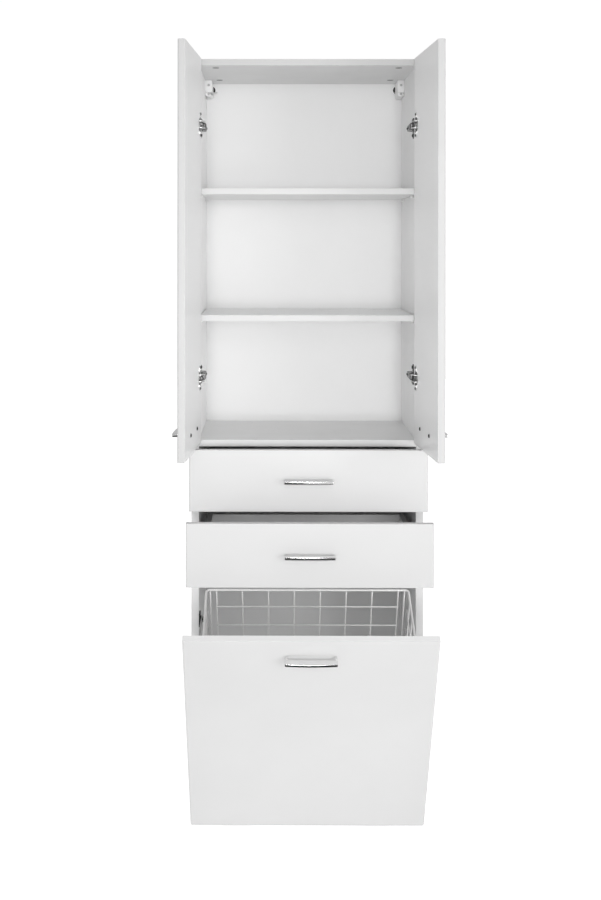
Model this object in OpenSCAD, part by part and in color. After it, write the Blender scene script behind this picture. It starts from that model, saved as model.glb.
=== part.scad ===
// Tall bathroom storage cabinet: two doors over three open compartments, two drawers on
// roller runners, and a laundry flap that tilts out with a wire basket behind it.
// X runs across the cabinet, the fronts face -Y, and Z = 0 is the floor.
// Every piece is drawn closed and then moved to the pose that the variables below give.

/* [Pose] */
// Opening angle of both doors, in degrees
door_open = 94; // [0:1:94]
// How far the upper drawer is pulled out
drawer_upper_out = 65; // [0:1:200]
// How far the lower drawer is pulled out
drawer_lower_out = 160; // [0:1:200]
// Tilt of the laundry flap, in degrees
flap_tilt = 28.4; // [0:0.1:28.4]

/* [Cabinet] */
// Overall width
body_w = 500; // [480:5:540]
// Overall height, floor to top
body_h = 1650; // [1600:10:1700]
// Depth of the side panels
body_d = 311; // [305:1:330]
// Thickness of the side panels
side_t = 16; // [15:1:18]
// Thickness of the top, floor, divider and bottom boards
board_t = 14; // [14:1:18]
// Thickness of the loose shelves
shelf_t = 13; // [12:1:18]
// Thickness of the back panel
back_t = 3; // [3:0.5:5]
// How far the back panel sits in front of the rear edges
back_inset = 12; // [10:1:20]
// Height of the plastic glides under the side panels
glide_h = 4; // [3:1:6]

/* [Heights] */
// Underside of the board under the bottle compartments
floor_z = 814; // [810:1:816]
// Underside of the lower shelf
shelf_lower_z = 1084; // [1040:1:1150]
// Distance from the cabinet's top down to the underside of the upper shelf
shelf_upper_drop = 292; // [230:1:350]
// Underside of the divider over the laundry space
divider_z = 540; // [536:1:542]
// Underside of the bottom board
bottom_z = 8; // [8:1:10]

/* [Fronts] */
// Thickness of doors, drawer fronts and flap
front_t = 15; // [15:1:18]
// Gap between a closed front and the cabinet
front_gap = 2; // [2:0.5:3]
// Underside of the doors
door_z = 822.5; // [822:0.5:824]
// Gap between the two closed doors
door_split = 3; // [2:0.5:4]
// Underside of the upper drawer front
drawer_upper_z = 690.5; // [690:0.5:692]
// Underside of the lower drawer front
drawer_lower_z = 558; // [557:0.5:560]
// Height of a drawer front
drawer_front_h = 129; // [126:0.5:129]
// Underside of the flap
flap_z = 11.5; // [11:0.5:12]
// Height of the flap
flap_h = 542.5; // [540:0.5:543]
// Rounding of the fronts' outer upright edges
front_edge_r = 3; // [1:0.5:4]

/* [Drawers] */
// Thickness of drawer sides and back
drawer_board_t = 12; // [10:1:13]
// Room for a runner beside the drawer
runner_gap = 13; // [13:0.5:14]
// Height of a drawer box
drawer_box_h = 78; // [70:1:84]
// Length of a drawer box
drawer_box_l = 280; // [270:5:285]
// Height of the box underside over the underside of its front
drawer_box_rise = 8; // [6:1:10]
// Radius of the runner rollers
roller_r = 8; // [8:0.5:9]

/* [Handles] */
// Distance between the two screws of a bow handle
handle_pitch = 96; // [64:32:128]
// Overall length of a bow handle
handle_l = 103.5; // [100:0.5:110]
// How far the middle of the bow stands out
handle_out = 25; // [24:1:28]
// How far the ends of the bow stand out
handle_end_out = 23; // [22:0.5:23.5]
// Height of the bow
handle_h = 7; // [7:0.5:9]
// Width of the bow, front to back, at its middle
handle_bar_w = 14; // [12:0.5:15]
// Distance from a door's hinge edge to the middle of its handle
door_handle_x = 115; // [105:1:140]
// Height of the door handles over the door underside
door_handle_z = 41; // [35:1:60]
// Height of the flap handle under the top edge of the flap
flap_handle_drop = 41; // [35:1:60]

/* [Basket] */
// Room between the basket's rim and a side panel
basket_side_room = 15; // [14:1:24]
// Distance from the flap to the middle of the basket's rear wall
basket_d = 228; // [200:1:235]
// Distance from the flap's top edge down to the rim
basket_rim_drop = 101.5; // [95:0.5:120]
// Height of the basket's base over the flap underside
basket_base_z = 58; // [50:1:80]
// Wire diameter
wire_d = 3; // [2.5:0.5:4]
// Rim wire diameter
rim_d = 5; // [4:0.5:6]

/* [Hidden] */
$fn = 48;
eps = 0.01;

// Cabinet, worked out
inner_w = body_w - 2 * side_t;
inner_x = inner_w / 2;
inner_d = body_d - back_inset - back_t;
shelf_upper_z = body_h - shelf_upper_drop;
groove_play = 0.1;
back_groove = 6;

// Fit of screws, pins and dowels in their holes
slip = 0.05;

// Shelf pins
pin_r = 2.5;
pin_hole_l = 9;
pin_reach = 7;
pin_pad_w = 7;
pin_pad_h = 6;
pin_front_y = 45;
pin_rear_y = 240;
shelf_side_gap = 2;
shelf_front_y = 2;

// Cam fittings: a cam in the board and a bolt into the side panel
cam_r = 7.5;
cam_h = 11.5;
cam_from_end = 34;
cam_bolt_r = 3;
cam_bolt_in_side = 11;
cam_ys = [37, 229];
cam_slot_l = 10;
cam_slot_w = 1.6;
cam_slot_deep = 1.2;

// Wall hangers in the top rear corners
hanger_w = 16;
hanger_d = 65;
hanger_h = 37;
hanger_hole_in = 11.5;
hanger_hole_x = inner_x - hanger_hole_in;
hanger_hole_drop = 15;
hanger_hole_z = body_h - board_t - hanger_hole_drop;
hanger_hole_r = 9.5;
hanger_screw_r = 3;
hanger_screw_l = 7;
hanger_screw_drops = [11, 31];
hanger_corner_r = 5;
hanger_lip_h = 9;
hanger_lip_back = 3;
hook_inset = 2;
hook_t = 3;
hook_h = 9;
hook_drop = 3;
hook_lip = 4;
hook_lip_t = 2;
hook_from_wall = 4;

// Glides
glide_front = 20;
glide_rear = 25;
glide_r_foot = 6.5;
glide_r_top = 7.5;

// Door hinges: the real four-link hinge turns about a point close to its outer edge, which
// is taken as one fixed axis
hinge_axis_x = 7.4;
hinge_axis_y = 13.1;
hinge_rise = 142.5;
hinge_drop = 145;
hinge_zs = [door_z + hinge_rise, body_h - hinge_drop];
cup_r = 17.5;
cup_depth = 11.5;
cup_room = 0.5;
cup_edge = 5;
cup_wall = 1.3;
flange_l = 55;
flange_w = 17;
flange_t = 1.2;
flange_shift = 2;
flange_screw_up = 22.5;
flange_screw_r = 1.8;
cheek_near = 18;
cheek_far = 33;
cheek_h = 11;
cheek_h_far = 5;
cheek_slope_l = 6;
arm_plate_w = 18;
arm_plate_h = 46;
arm_plate_t = 2;
arm_plate_y = 46;
plate_screw_up = 16;
plate_screw_r = 2.1;
arm_w = 12;
arm_out = 13;
arm_t = 7;
arm_front_y = 14;
arm_past_plate = 9;
arm_bend = 3;
arm_sheet = 1.2;
arm_tail_l = 7;
arm_tail_out = 8;
arm_screw_ys = [32, 54];
arm_screw_r = 2.4;
arm_nose_w = 9;
arm_nose_r = 4;
arm_nose_l = 21;
// The link plates turn on a pin through the arm's nose, faster than the door does; the pin
// that joins them to the cup is left open
link_x = 27;
link_y = -6;
link_l = 22;
link_r = 3;
link_t = 1.4;
link_play = 0.3;
link_pin_r = 1.5;
link_closed_a = 52;
link_ratio = 1.67;

// Runners
steel_t = 1.2;
rail_web_h = 24;
rail_flange_w = 9.6;
rail_lip_w = 2.6;
rail_front_y = 3;
rail_short = 10;
rail_l = drawer_box_l - rail_short;
rail_screw_ys = [rail_front_y + 37, rail_front_y + rail_l / 2 + 12, rail_front_y + rail_l - 18];
rail_screw_up = 13;
rail_screw_r = 2.2;
rail_pin_l = 8.6;
slide_foot_w = 8;
slide_flange_w = 10;
slide_short = 2;
slide_pin_l = 10.4;
roller_w = 5;
roller_pin_r = 2;
roller_hub_r = 3.6;
roller_rim = 2;
roller_recess = 0.8;
rail_roller_y = 14;
rail_roller_in = 5.6;
rail_roller_play = 0.3;
slide_roller_in = 5.3;
slide_roller_from_end = 16;

// Flap hinges at the foot of the flap
flap_axis_y = -3;
flap_axis_z = 8.5;
barrel_r = 2.5;
barrel_pin_r = 1.2;
leaf_w = 60;
leaf_t = 1;
leaf_gap = 0.7;
leaf_screw_x = 20;
leaf_screw_r = 1.6;
knuckle_w = 18;
knuckle_play = 0.2;
flap_hinge_x = 150;

// Flap stay: a slotted arc on the flap slides over a pin on the left side panel
stay_side = -1;
stay_pin_y = 14;
stay_pin_drop = 117;
stay_pin_z = flap_z + flap_h - stay_pin_drop;
stay_pin_r = 2.5;
stay_pin_l = 9;
stay_head_r = 6;
stay_boss_r = 10;
stay_boss_top_r = 7;
stay_boss_t = 4.6;
stay_head_t = 1.4;
stay_slot_play = 0.15;
stay_strip_w = 14;
stay_strip_t = 2;
stay_from_side = 6;
stay_x = inner_x - stay_from_side;
stay_start_a = 0.7;
stay_past_slot_a = 1.6;
stay_foot_up = 12;
stay_foot_down = 14;
stay_foot_deep = 9;
stay_foot_w = 16;
stay_foot_t = 1.6;
stay_screw_r = 1.8;
stay_screw_end = 5;
stay_screw_in = 9;
bracket_t = 3;
bracket_h = 30;
bracket_y0 = 4;
bracket_y1 = 26;
bracket_screw_y = 20;

handle_sag = handle_out - handle_end_out;
handle_arc_r = (pow(handle_l / 2, 2) + pow(handle_sag, 2)) / (2 * handle_sag);
handle_foot_r = 3.4;
screw_r = 2;
screw_head_r = 4;
screw_head_h = 2.4;
screw_grip = 8;

// The side panels' front edges stand at y = 0 while a piece is drawn; the whole cabinet then
// moves so that the origin is under the middle of its outline with the flap tilted out,
// whose foremost point is the upper edge of the flap's handle
flap_tip_y = -front_gap - front_t - handle_out - flap_axis_y;
flap_tip_z = flap_z + flap_h - flap_handle_drop + handle_h / 2 - flap_axis_z;
flap_reach = flap_tip_z * sin(flap_tilt) - flap_tip_y * cos(flap_tilt) - flap_axis_y;
centre_y = (flap_reach - body_d) / 2;

basket_w = inner_w - 2 * basket_side_room;
basket_gap_y = 6;
basket_corner_r = 8;
rear_wires = 8;
side_wires = 4;
side_wire_step = 49;
side_wire_rear = 30;
side_level_rear = 12;
rear_wire_inset = 24;
rear_wire_step = (basket_w - 2 * rear_wire_inset) / (rear_wires - 1);
level_first = 46;
level_step = 54;
weld = 0.6;
rim_weld = 0.3;
base_weld = 0.2;
clip_rise = 16;
clip_w = 22;
clip_h = 16;
clip_wall = 2;
clip_play = 0.1;

// ---- poses ----------------------------------------------------------------------------

module placed() {
    translate([0, centre_y, 0]) children();
}

// side is -1 for the left door and 1 for the right door
module on_door(side) {
    px = side * (body_w / 2 - hinge_axis_x);
    py = -front_gap - hinge_axis_y;
    placed() translate([px, py, 0]) rotate([0, 0, side * door_open])
        translate([-px, -py, 0]) children();
}

module on_drawer(out) {
    placed() translate([0, -out, 0]) children();
}

module on_flap() {
    placed() translate([0, flap_axis_y, flap_axis_z]) rotate([flap_tilt, 0, 0])
        translate([0, -flap_axis_y, -flap_axis_z]) children();
}

// ---- shared forms ---------------------------------------------------------------------

module box(x0, x1, y0, y1, z0, z1) {
    translate([min(x0, x1), y0, z0]) cube([abs(x1 - x0), y1 - y0, z1 - z0]);
}

module rod_x(x0, x1, y, z, r) {
    translate([min(x0, x1), y, z]) rotate([0, 90, 0]) cylinder(r = r, h = abs(x1 - x0));
}

module rod_y(x, y0, y1, z, r) {
    translate([x, y1, z]) rotate([90, 0, 0]) cylinder(r = r, h = y1 - y0);
}

// A front board from x0 to x1, its outer upright edges rounded
module front_board(x0, x1, z0, h) {
    r = front_edge_r;
    outer = -front_gap - front_t;
    translate([0, 0, z0]) linear_extrude(h) union() {
        translate([x0 + r, outer]) square([x1 - x0 - 2 * r, front_t]);
        translate([x0, outer + r]) square([x1 - x0, front_t - r]);
        for (x = [x0 + r, x1 - r]) translate([x, outer + r]) circle(r = r);
    }
}

// Bow handle on the plane y = -front_gap - front_t, its middle at x, z: a broad flat bar,
// bowed along its front edge, on two round feet
module bow_handle(x, z) {
    back_y = handle_bar_w - handle_out;
    translate([x, -front_gap - front_t, z]) difference() {
        union() {
            translate([0, 0, -handle_h / 2]) linear_extrude(handle_h) intersection() {
                translate([0, handle_arc_r - handle_out]) circle(r = handle_arc_r, $fn = 360);
                translate([-handle_l / 2, -handle_out]) square([handle_l, handle_bar_w]);
            }
            for (s = [-1, 1]) rod_y(s * handle_pitch / 2, back_y - 1, 0, 0, handle_foot_r);
        }
        for (s = [-1, 1]) rod_y(s * handle_pitch / 2, -screw_grip - 1, 1, 0, screw_r + slip);
    }
}

module handle_screws(x, z) {
    for (s = [-1, 1]) {
        sx = x + s * handle_pitch / 2;
        rod_y(sx, -front_gap - front_t - screw_grip, -front_gap, z, screw_r);
        rod_y(sx, -front_gap - eps, -front_gap + screw_head_h, z, screw_head_r);
    }
}

module handle_holes(x, z) {
    for (s = [-1, 1])
        rod_y(x + s * handle_pitch / 2, -front_gap - front_t - 1, -front_gap + 1, z, screw_r + slip);
}

// ---- cabinet boards ---------------------------------------------------------------------

function shelf_zs() = [shelf_lower_z, shelf_upper_z];
function cam_boards() = [body_h - board_t, floor_z, bottom_z];

module side_panel(side) {
    inner = side * inner_x;
    outer = side * body_w / 2;
    color("whitesmoke") placed() difference() {
        box(inner, outer, 0, body_d, glide_h, body_h);
        box(inner - side, inner + side * back_groove, inner_d, inner_d + back_t + groove_play,
            glide_h - 1, body_h - 3 + groove_play);
        for (z = shelf_zs(), y = [pin_front_y, pin_rear_y])
            rod_x(inner - side, inner + side * pin_hole_l, y, z - pin_pad_h / 2, pin_r + slip);
        for (z = cam_boards(), y = cam_ys)
            rod_x(inner - side, inner + side * cam_bolt_in_side, y, z + board_t / 2, cam_bolt_r + slip);
    }
}

module side_panel_left() side_panel(-1);
module side_panel_right() side_panel(1);

// A board between the side panels, with cam pockets in its underside
module cam_board(z) {
    color("whitesmoke") placed() difference() {
        box(-inner_x, inner_x, 0, inner_d, z, z + board_t);
        for (s = [-1, 1], y = cam_ys) {
            cx = s * (inner_x - cam_from_end);
            translate([cx, y, z - 1]) cylinder(r = cam_r + slip, h = cam_h + 1);
            rod_x(cx, s * (inner_x + 1), y, z + board_t / 2, cam_bolt_r + slip);
        }
    }
}

module top_panel() cam_board(body_h - board_t);
module compartment_floor() cam_board(floor_z);
module bottom_board() cam_board(bottom_z);

module divider_board() {
    color("whitesmoke") placed() box(-inner_x, inner_x, 0, inner_d, divider_z, divider_z + board_t);
}

module cam_fittings() {
    color("dimgray") placed() for (z = cam_boards(), s = [-1, 1], y = cam_ys) {
        cx = s * (inner_x - cam_from_end);
        difference() {
            translate([cx, y, z]) cylinder(r = cam_r, h = cam_h);
            for (cut = [[cam_slot_l, cam_slot_w], [cam_slot_w, cam_slot_l]])
                box(cx - cut[0] / 2, cx + cut[0] / 2, y - cut[1] / 2, y + cut[1] / 2,
                    z - 1, z + cam_slot_deep);
        }
        rod_x(cx + s * (cam_r - 1), s * (inner_x + cam_bolt_in_side), y, z + board_t / 2, cam_bolt_r);
    }
}

module back_panel() {
    half = inner_x + back_groove - groove_play;
    color("gainsboro") placed() difference() {
        box(-half, half, inner_d, inner_d + back_t, bottom_z, body_h - 3);
        for (s = [-1, 1])
            rod_y(s * hanger_hole_x, inner_d - 1, inner_d + back_t + 1, hanger_hole_z, hanger_hole_r);
    }
}

module shelf(z) {
    half = inner_x - shelf_side_gap;
    color("whitesmoke") placed() box(-half, half, shelf_front_y, inner_d - 1, z, z + shelf_t);
}

module shelf_upper() shelf(shelf_upper_z);
module shelf_lower() shelf(shelf_lower_z);

module shelf_pins() {
    color("white") placed() for (z = shelf_zs(), s = [-1, 1], y = [pin_front_y, pin_rear_y]) {
        rod_x(s * (inner_x - eps), s * (inner_x + pin_hole_l - 0.5), y, z - pin_pad_h / 2, pin_r);
        box(s * (inner_x - pin_reach), s * inner_x, y - pin_pad_w / 2, y + pin_pad_w / 2,
            z - pin_pad_h, z);
    }
}

// The front view of a hanger of height h, its two lower corners rounded
module hanger_outline(h) {
    hull() {
        translate([-hanger_w / 2, -h / 2]) square([hanger_w, h / 2]);
        for (s = [-1, 1])
            translate([s * (hanger_w / 2 - hanger_corner_r), hanger_corner_r - h])
                circle(r = hanger_corner_r);
    }
}

// A hanger: a box screwed to the side panel, with a steel hook through the back panel
module wall_hanger(side) {
    top = body_h - board_t;
    x_in = side * (inner_x - hanger_w);
    y_face = inner_d - hanger_d;
    hook_x = x_in + side * hook_inset;
    hook_z = hanger_hole_z - hook_drop;
    hook_y = body_d - hook_from_wall;
    color("white") placed() difference() {
        union() {
            translate([side * (inner_x - hanger_w / 2), inner_d, top]) rotate([90, 0, 0]) {
                linear_extrude(hanger_d - hanger_lip_back) hanger_outline(hanger_h);
                linear_extrude(hanger_d) hanger_outline(hanger_h - hanger_lip_h);
            }
            box(hook_x, hook_x + side * hook_t, inner_d - hook_lip_t, hook_y, hook_z, hook_z + hook_h);
            box(hook_x, hook_x + side * hook_t, hook_y - hook_lip_t, hook_y,
                hook_z - hook_lip, hook_z + hook_h);
        }
        for (drop = hanger_screw_drops)
            rod_y(side * (inner_x - hanger_w / 2), y_face - 1, y_face + hanger_screw_l,
                top - drop, hanger_screw_r);
    }
}

module wall_hanger_left() wall_hanger(-1);
module wall_hanger_right() wall_hanger(1);

module floor_glides() {
    color("dimgray") placed() for (s = [-1, 1], y = [glide_front, body_d - glide_rear])
        translate([s * (inner_x + side_t / 2), y, 0])
            cylinder(r1 = glide_r_foot, r2 = glide_r_top, h = glide_h);
}

// ---- doors ------------------------------------------------------------------------------

function hinge_edge(side) = side * body_w / 2;
// Half heights at which the link plates and the cup's cheeks start
plate_z = arm_nose_w / 2 + link_play;
cheek_z = plate_z + link_t + link_play;

module door(side) {
    x_hinge = hinge_edge(side);
    x_free = side * door_split / 2;
    hx = x_hinge - side * door_handle_x;
    color("white") on_door(side) difference() {
        front_board(min(x_hinge, x_free), max(x_hinge, x_free), door_z, body_h - door_z);
        for (z = hinge_zs)
            rod_y(x_hinge - side * (cup_edge + cup_r), -front_gap - cup_depth - cup_room, -front_gap + 1, z,
                cup_r + slip);
        handle_holes(hx, door_z + door_handle_z);
    }
}

module door_handle(side) {
    hx = hinge_edge(side) - side * door_handle_x;
    color("silver") on_door(side) bow_handle(hx, door_z + door_handle_z);
}

module door_screws(side) {
    hx = hinge_edge(side) - side * door_handle_x;
    color("darkgray") on_door(side) handle_screws(hx, door_z + door_handle_z);
}

// The door's half of a hinge: a pressed cup with its flange and the two cheeks of the link
module hinge_cup(side, z) {
    x_edge = hinge_edge(side);
    x_cup = x_edge - side * (cup_edge + cup_r);
    x_flange = x_cup + side * flange_shift;
    y_face = -front_gap;
    y_in = y_face - cup_depth + cup_wall;
    difference() {
        union() {
            rod_y(x_cup, y_face - cup_depth, y_face, z, cup_r);
            hull() for (s = [-1, 1])
                rod_y(x_flange, y_face, y_face + flange_t, z + s * (flange_l - flange_w) / 2, flange_w / 2);
        }
        rod_y(x_cup, y_in, y_face + flange_t + 1, z, cup_r - cup_wall);
        for (s = [-1, 1])
            rod_y(x_flange, y_face - eps, y_face + flange_t + 1, z + s * flange_screw_up, flange_screw_r);
    }
    for (s = [-1, 1])
        translate([x_edge, 0, z + s * (cheek_z + link_t / 2) - link_t / 2]) linear_extrude(link_t)
            polygon([
                [-side * cheek_near, y_in],
                [-side * cheek_far, y_in],
                [-side * cheek_far, y_face + cheek_h_far],
                [-side * (cheek_far - cheek_slope_l), y_face + cheek_h],
                [-side * cheek_near, y_face + cheek_h]
            ]);
}

module hinge_cups(side) {
    color("dimgray") on_door(side) for (z = hinge_zs) hinge_cup(side, z);
}

// A winged plate, screwed to the side panel through both wings
module hinge_plate(side, z) {
    wing_r = arm_plate_w / 2;
    translate([side * inner_x, arm_plate_y, z]) rotate([0, -side * 90, 0])
        linear_extrude(arm_plate_t) difference() {
            hull() for (s = [-1, 1]) translate([s * (arm_plate_h / 2 - wing_r), 0]) circle(r = wing_r);
            for (s = [-1, 1]) translate([s * plate_screw_up, 0]) circle(r = plate_screw_r);
        }
}

// The outline of the arm seen from above, and with a wall taken off, of the hollow in its rear
module arm_outline(side, wall) {
    out = arm_out - wall;
    y0 = arm_plate_y - arm_plate_w / 2 + wall;
    y1 = arm_plate_y + arm_plate_w / 2 + arm_past_plate;
    mirror([side > 0 ? 1 : 0, 0]) translate([-inner_x, 0]) polygon([
        [arm_plate_t / 2 - wall, y0],
        [arm_plate_t / 2 - wall, y1 + wall],
        [arm_tail_out - wall, y1 + wall],
        [out, y1 - arm_tail_l],
        [out, y0]
    ]);
}

// The cabinet's half: the plate, a slim pressed arm over it and a nose into the cup
module hinge_arm(side, z) {
    out = side * (inner_x - arm_out);
    y0 = arm_plate_y - arm_plate_w / 2;
    hinge_plate(side, z);
    difference() {
        translate([0, 0, z - arm_w / 2]) linear_extrude(arm_w) union() {
            arm_outline(side, 0);
            polygon([
                [out, y0 + 1],
                [out, arm_front_y + arm_bend],
                [out + side * arm_bend, arm_front_y],
                [out + side * arm_t, arm_front_y],
                [out + side * arm_t, y0 + 1]
            ]);
        }
        translate([0, 0, z - arm_w / 2 + arm_sheet]) linear_extrude(arm_w - 2 * arm_sheet)
            arm_outline(side, arm_sheet);
        for (y = arm_screw_ys) rod_x(out - side, out + side * (arm_t + 1), y, z, arm_screw_r);
    }
    translate([hinge_edge(side) - side * link_x, link_y, z - arm_nose_w / 2]) difference() {
        union() {
            cylinder(r = arm_nose_r, h = arm_nose_w);
            translate([-arm_nose_r, 0, 0]) cube([2 * arm_nose_r, arm_nose_l, arm_nose_w]);
        }
        translate([0, 0, -1]) cylinder(r = link_pin_r + slip, h = arm_nose_w + 2);
    }
}

// Two flat link plates with their pins, drawn folded back as they lie with the door closed
module hinge_link(side, z) {
    x = hinge_edge(side) - side * link_x;
    a = side < 0 ? link_closed_a : 180 - link_closed_a;
    translate([x, link_y, z]) rotate([0, 0, a]) {
        for (zp = [plate_z, -plate_z - link_t]) translate([0, 0, zp]) linear_extrude(link_t) union() {
            circle(r = link_r);
            translate([0, -link_r]) square([link_l, 2 * link_r]);
            translate([link_l, 0]) circle(r = link_r);
        }
        for (l = [0, link_l]) translate([l, 0, -plate_z - link_t])
            cylinder(r = link_pin_r, h = 2 * (plate_z + link_t));
    }
}

module hinge_links(side) {
    px = hinge_edge(side) - side * link_x;
    color("dimgray") placed() translate([px, link_y, 0]) rotate([0, 0, side * link_ratio * door_open])
        translate([-px, -link_y, 0]) for (z = hinge_zs) hinge_link(side, z);
}

module hinge_arms() {
    color("dimgray") placed() for (side = [-1, 1], z = hinge_zs) hinge_arm(side, z);
}

module door_left() door(-1);
module door_right() door(1);
module door_handle_left() door_handle(-1);
module door_handle_right() door_handle(1);
module door_screws_left() door_screws(-1);
module door_screws_right() door_screws(1);
module hinge_cups_left() hinge_cups(-1);
module hinge_cups_right() hinge_cups(1);
module hinge_links_left() hinge_links(-1);
module hinge_links_right() hinge_links(1);

// ---- drawers ------------------------------------------------------------------------------

drawer_x = inner_x - runner_gap;
drawer_inner_x = drawer_x - drawer_board_t;
box_y0 = -front_gap;
box_y1 = box_y0 + drawer_box_l;
base_t = 3;
base_rise = 8;
base_groove = 6;

function box_z(front_z) = front_z + drawer_box_rise;

// The thin base, or the grooves that hold it when play is given
module drawer_base(front_z, play) {
    z = box_z(front_z) + base_rise;
    half = drawer_inner_x + base_groove;
    box(-half - play, half + play, box_y0 - base_groove - play,
        box_y1 - drawer_board_t + base_groove + play, z - play, z + base_t + play);
}

module drawer_front(front_z, out) {
    color("white") on_drawer(out) difference() {
        front_board(-body_w / 2, body_w / 2, front_z, drawer_front_h);
        drawer_base(front_z, groove_play);
        handle_holes(0, front_z + drawer_front_h / 2);
    }
}

module drawer_side(side, front_z, out) {
    z = box_z(front_z);
    color("gainsboro") on_drawer(out) difference() {
        box(side * drawer_inner_x, side * drawer_x, box_y0, box_y1, z, z + drawer_box_h);
        drawer_base(front_z, groove_play);
    }
}

module drawer_back(front_z, out) {
    z = box_z(front_z);
    color("gainsboro") on_drawer(out) difference() {
        box(-drawer_inner_x, drawer_inner_x, box_y1 - drawer_board_t, box_y1, z, z + drawer_box_h);
        drawer_base(front_z, groove_play);
    }
}

module drawer_bottom(front_z, out) {
    color("gainsboro") on_drawer(out) drawer_base(front_z, 0);
}

module drawer_handle(front_z, out) {
    color("silver") on_drawer(out) bow_handle(0, front_z + drawer_front_h / 2);
}

module drawer_screws(front_z, out) {
    color("darkgray") on_drawer(out) handle_screws(0, front_z + drawer_front_h / 2);
}

// Rails on the side panels: an open channel with a roller pin at the front
rail_floor = 2;
rail_lip_gap = 4;
rail_lip_z = 18.6;
slide_flange_play = 0.35;
slide_flange_z = roller_r * 2 + rail_floor + slide_flange_play;
slide_roller_y = box_y1 - slide_roller_from_end;

module runner_rails(front_z) {
    z = box_z(front_z);
    roller_z = z + rail_floor + roller_r + rail_roller_play;
    y0 = rail_front_y;
    y1 = rail_front_y + rail_l;
    lip_y0 = rail_roller_y + roller_r + rail_lip_gap;
    color("white") placed() for (s = [-1, 1]) {
        x = s * inner_x;
        difference() {
            box(x, x - s * steel_t, y0, y1, z + rail_floor - steel_t, z + rail_web_h);
            for (y = rail_screw_ys) rod_x(x + s, x - s * (steel_t + 1), y, z + rail_screw_up, rail_screw_r);
        }
        box(x, x - s * rail_flange_w, y0, y1, z + rail_floor - steel_t, z + rail_floor);
        box(x, x - s * rail_lip_w, lip_y0, y1, z + rail_lip_z, z + rail_lip_z + steel_t);
        rod_x(x - s * steel_t / 2, x - s * rail_pin_l, rail_roller_y, roller_z, roller_pin_r);
    }
}

module slide_profiles(front_z, out) {
    z = box_z(front_z);
    roller_z = z + rail_floor + roller_r + slip;
    y1 = box_y1 - slide_short;
    color("white") on_drawer(out) for (s = [-1, 1]) {
        x = s * drawer_x;
        box(x, x + s * steel_t, box_y0, y1, z - steel_t, z + slide_flange_z + steel_t);
        box(x + s * steel_t, x - s * slide_foot_w, box_y0, y1, z - steel_t, z);
        box(x, x + s * slide_flange_w, box_y0, y1, z + slide_flange_z, z + slide_flange_z + steel_t);
        rod_x(x + s * steel_t / 2, x + s * slide_pin_l, slide_roller_y, roller_z, roller_pin_r);
    }
}

// A roller: a nylon wheel with a recess round its hub on both sides and a running bore
module roller(x, y, z) {
    difference() {
        rod_x(x - roller_w / 2, x + roller_w / 2, y, z, roller_r);
        rod_x(x - roller_w, x + roller_w, y, z, roller_pin_r + slip);
        for (s = [-1, 1]) difference() {
            rod_x(x + s * (roller_w / 2 - roller_recess), x + s * (roller_w / 2 + 1), y, z,
                roller_r - roller_rim);
            rod_x(x + s * (roller_w / 2 - 1), x + s * (roller_w / 2 + 2), y, z, roller_hub_r);
        }
    }
}

module rail_rollers(front_z) {
    z = box_z(front_z) + rail_floor + roller_r + rail_roller_play;
    color("ivory") placed() for (s = [-1, 1]) roller(s * (inner_x - rail_roller_in), rail_roller_y, z);
}

module slide_rollers(front_z, out) {
    z = box_z(front_z) + rail_floor + roller_r + slip;
    color("ivory") on_drawer(out) for (s = [-1, 1]) roller(s * (inner_x - slide_roller_in),
        slide_roller_y, z);
}

module drawer_front_upper() drawer_front(drawer_upper_z, drawer_upper_out);
module drawer_side_left_upper() drawer_side(-1, drawer_upper_z, drawer_upper_out);
module drawer_side_right_upper() drawer_side(1, drawer_upper_z, drawer_upper_out);
module drawer_back_upper() drawer_back(drawer_upper_z, drawer_upper_out);
module drawer_bottom_upper() drawer_bottom(drawer_upper_z, drawer_upper_out);
module drawer_handle_upper() drawer_handle(drawer_upper_z, drawer_upper_out);
module drawer_screws_upper() drawer_screws(drawer_upper_z, drawer_upper_out);
module slide_profiles_upper() slide_profiles(drawer_upper_z, drawer_upper_out);
module runner_rails_upper() runner_rails(drawer_upper_z);
module rail_rollers_upper() rail_rollers(drawer_upper_z);
module slide_rollers_upper() slide_rollers(drawer_upper_z, drawer_upper_out);
module drawer_front_lower() drawer_front(drawer_lower_z, drawer_lower_out);
module drawer_side_left_lower() drawer_side(-1, drawer_lower_z, drawer_lower_out);
module drawer_side_right_lower() drawer_side(1, drawer_lower_z, drawer_lower_out);
module drawer_back_lower() drawer_back(drawer_lower_z, drawer_lower_out);
module drawer_bottom_lower() drawer_bottom(drawer_lower_z, drawer_lower_out);
module drawer_handle_lower() drawer_handle(drawer_lower_z, drawer_lower_out);
module drawer_screws_lower() drawer_screws(drawer_lower_z, drawer_lower_out);
module slide_profiles_lower() slide_profiles(drawer_lower_z, drawer_lower_out);
module runner_rails_lower() runner_rails(drawer_lower_z);
module rail_rollers_lower() rail_rollers(drawer_lower_z);
module slide_rollers_lower() slide_rollers(drawer_lower_z, drawer_lower_out);

// ---- laundry flap ---------------------------------------------------------------------------

module flap_panel() {
    color("white") on_flap() difference() {
        front_board(-body_w / 2, body_w / 2, flap_z, flap_h);
        handle_holes(0, flap_z + flap_h - flap_handle_drop);
    }
}

module flap_handle() {
    color("silver") on_flap() bow_handle(0, flap_z + flap_h - flap_handle_drop);
}

module flap_screws() {
    color("darkgray") on_flap() handle_screws(0, flap_z + flap_h - flap_handle_drop);
}

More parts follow.
